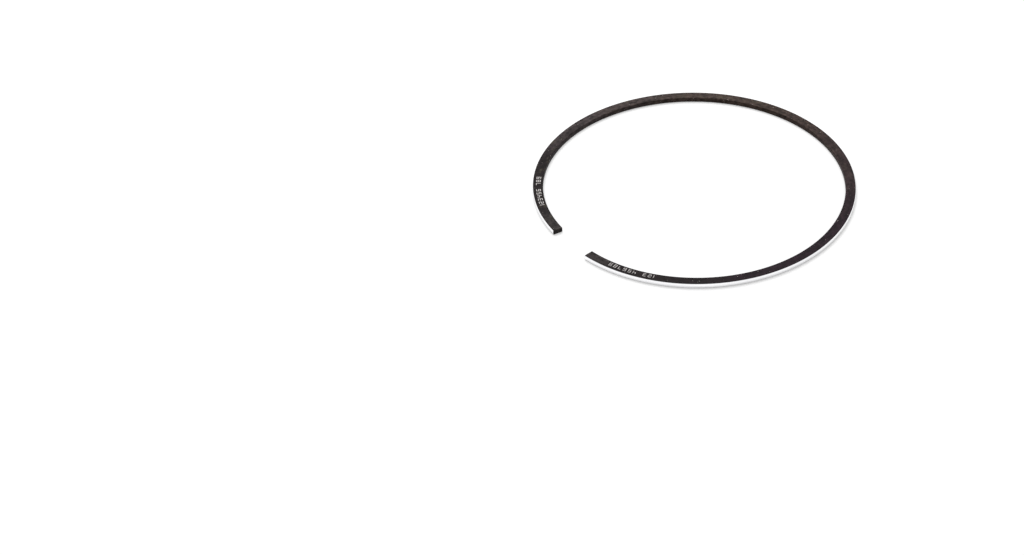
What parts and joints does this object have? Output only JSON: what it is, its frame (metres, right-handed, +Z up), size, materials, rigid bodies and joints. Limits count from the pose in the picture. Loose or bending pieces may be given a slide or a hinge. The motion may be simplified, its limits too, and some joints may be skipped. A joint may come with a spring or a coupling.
{
  "type": "piston ring",
  "caption": "Top compression ring of a small engine: an open steel ring with butt ends, black phosphate sides and a bright barrel-faced chrome running face.",
  "frame": {"origin": "middle of the free ring's outline, on the lower side that it rests on", "axes": "+Z up through the upper side, +X across the ring's widest reach to its right flank, -Y through the gap between its ends"},
  "size_m": [0.0754, 0.073, 0.0012],
  "materials": {
    "ring_steel": "black phosphate on the sides, the inside and the ends; bright hard chrome on the outer running face"
  },
  "bodies": {
    "root": {"piston_ring": "ring_steel"}
  },
  "joints": []
}
